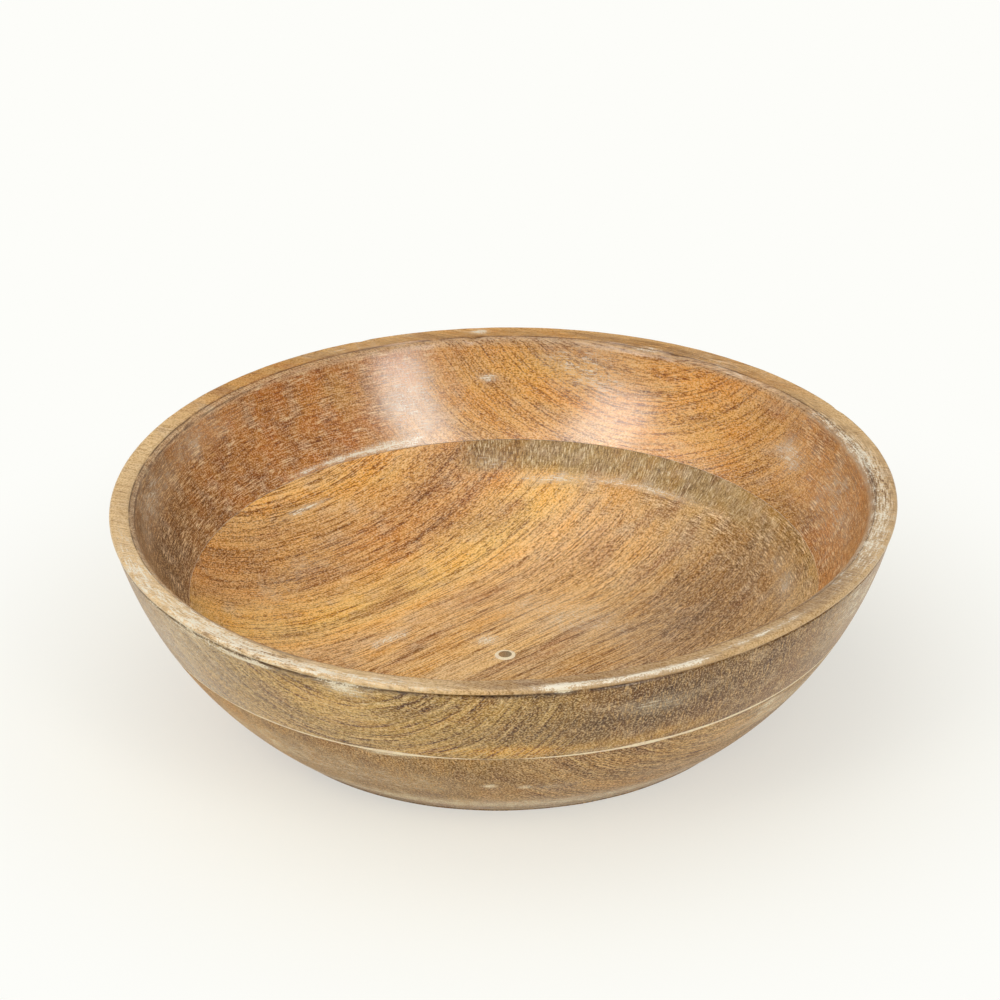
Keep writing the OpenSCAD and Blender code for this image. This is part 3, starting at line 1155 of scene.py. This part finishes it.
def white_table():
    """A wide floor that keeps the shadow near the bowl and is pure white further out."""
    # Rolled matt paint has almost no highlight, so the eye sees only the soft shadow on it
    far = table_half
    mesh = bpy.data.meshes.new("table_top")
    mesh.from_pydata([(-far, -far, 0), (far, -far, 0), (far, far, 0), (-far, far, 0)], [], [(0, 1, 2, 3)])
    table = bpy.data.objects.new("table_top", mesh)
    bpy.context.scene.collection.objects.link(table)
    material, tree = new_material("matt white paint, rolled")
    spot = add(tree, "TexCoord", out="Object")
    away = add(tree, "VectorMath", {"operation": "LENGTH"}, {0: spot}, out="Value")
    fade = add(tree, "MapRange", {"interpolation_type": "SMOOTHSTEP"},
               {"Value": away, "From Min": shadow_from, "From Max": shadow_to, "To Min": white_near_bowl})
    seen = add(tree, "LightPath", out="Is Camera Ray")
    mirrored = seen.node.outputs["Is Glossy Ray"]
    shown = add(tree, "Math", {"operation": "MAXIMUM"}, {0: seen, 1: mirrored})
    share = add(tree, "Math", {"operation": "MULTIPLY"}, {0: fade, 1: shown})
    paint_shader = add(tree, "BsdfPrincipled", inputs={
        "Base Color": paint("#F8F2DC"), "Roughness": 0.6, "Specular IOR Level": 0.2})
    white = add(tree, "Emission", inputs={"Color": paint("#FDFDF9"), "Strength": 1.0})
    mixed = add(tree, "MixShader", inputs={0: share, 1: paint_shader, 2: white})
    add(tree, "OutputMaterial", inputs={"Surface": mixed})
    mesh.materials.append(material)
    table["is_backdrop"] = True
    print(f"table {2 * table_half:.0f} m wide, white from {shadow_to} m out")


white_table()

# %% [markdown]
# ## World and lamps
# A product photograph is lit by a few large soft boxes in a pale room. An image of a studio would give the
# same light, but three area lamps and an even world need no file. The world is white only to the camera.
# Nothing here is metal or glass, and a white room mirrored in the lacquer would wash out the wall's colour.

# %% Soft studio light
room_level = 0.26
bowl_middle = Vector((0, 0, 0.04))


def soft_box(name, azimuth, elevation, away, width, height, watts):
    """A rectangular lamp at a direction from the bowl's middle, turned to face it."""
    lamp = bpy.data.lights.new(name, "AREA")
    lamp.shape = "RECTANGLE"
    lamp.size, lamp.size_y = width, height
    lamp.energy = watts
    holder = bpy.data.objects.new(name, lamp)
    around_by, up_by = radians(azimuth), radians(elevation)
    direction = Vector((cos(around_by) * cos(up_by), sin(around_by) * cos(up_by), sin(up_by)))
    holder.location = direction * away + bowl_middle
    holder.rotation_euler = direction.to_track_quat("Z", "Y").to_euler()
    bpy.context.scene.collection.objects.link(holder)
    print(f"{name}: {watts} W, {width} by {height} m, {away} m away")


world = bpy.data.worlds.new("soft studio")
bpy.context.scene.world = world
world.use_nodes = True
world.node_tree.nodes.clear()
room = world.node_tree
seen = add(room, "LightPath", out="Is Camera Ray")
level = add(room, "MapRange", inputs={"Value": seen, "To Min": room_level, "To Max": 1.0})
backdrop = add(room, "Background", inputs={"Color": paint("#FDFDFA"), "Strength": level})
add(room, "OutputWorld", inputs={"Surface": backdrop})

soft_box("overhead_key", azimuth=-170, elevation=70, away=1.8, width=2.4, height=2.4, watts=18.8)
soft_box("front_left_box", azimuth=-135, elevation=41, away=1.8, width=0.6, height=1.0, watts=6)
soft_box("right_box", azimuth=-56, elevation=34, away=2.0, width=0.55, height=1.9, watts=14)

# %% [markdown]
# ## Camera
# The camera looks down at about 27 degrees from 1.9 m away with a long lens, which is how the rim, seam and
# foot all keep nearly the same ellipse. It leans about one degree, as a hand-held camera does. A Track To
# constraint could aim it, but it would undo the lean.

# %% Camera
camera_away = 1913.1
camera_elevation = radians(27.413)
camera_aim = Vector((-0.83, 0, 79.9))
camera_lean = radians(-1.123)
sensor_mm = 36
lens_mm = 180

eye = Vector((0, -camera_away * cos(camera_elevation), bowl_h + camera_away * sin(camera_elevation)))
lens = bpy.data.cameras.new("camera")
lens.sensor_width = sensor_mm
lens.lens = lens_mm
camera = bpy.data.objects.new("camera", lens)
camera.location = eye * MM
camera.rotation_mode = "QUATERNION"
look = (camera_aim - eye).to_track_quat("-Z", "Y")
lean = Matrix.Rotation(camera_lean, 3, "Z").to_quaternion()
camera.rotation_quaternion = look @ lean
bpy.context.scene.collection.objects.link(camera)
bpy.context.scene.camera = camera
bpy.context.scene.view_settings.view_transform = "Standard"
print(f"camera {eye.length * MM:.2f} m from the foot, lens {lens_mm} mm")

# %% [markdown]
# ## Sizes before and after dressing
# Dressing must not make the bowl bigger than its solids. Both boxes are kept, the solids' from the start and
# the dressed bowl's from now, and printed side by side.

# %% Sizes before and after dressing
dressed_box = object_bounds()
for side, before, after in zip("XYZ", cad_box[1], dressed_box[1]):
    print(f"{side} ends at {before / MM:.1f} mm in the solids and {after / MM:.1f} mm dressed")
